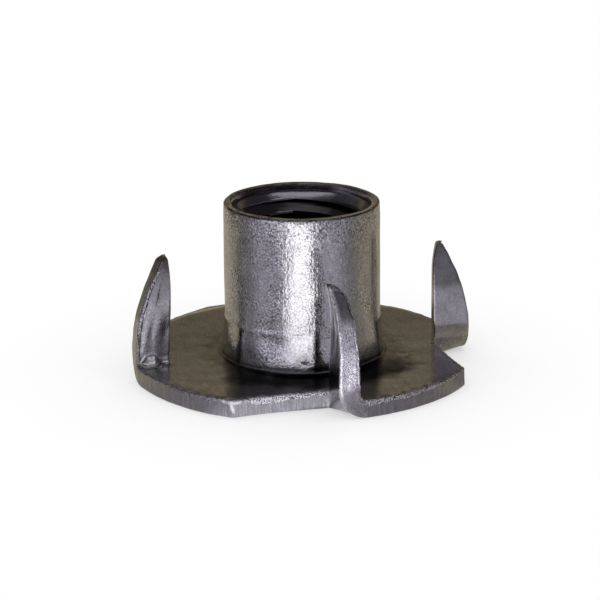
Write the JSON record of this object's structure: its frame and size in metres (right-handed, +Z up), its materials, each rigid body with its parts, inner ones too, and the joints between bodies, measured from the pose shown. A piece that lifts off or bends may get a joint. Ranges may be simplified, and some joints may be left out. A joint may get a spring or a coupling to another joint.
{
  "type": "tee nut",
  "caption": "Steel tee nut for wood: round flange with bent-up prongs and an internally threaded barrel, pressed and drawn in one piece.",
  "frame": {"origin": "centre of the flange's underside", "axes": "+Z up the barrel towards its mouth; the first prong stands on +X"},
  "size_m": [0.022, 0.022, 0.0109],
  "materials": {
    "steel": "satin"
  },
  "bodies": {
    "root": {"tee_nut": "steel"}
  },
  "joints": []
}
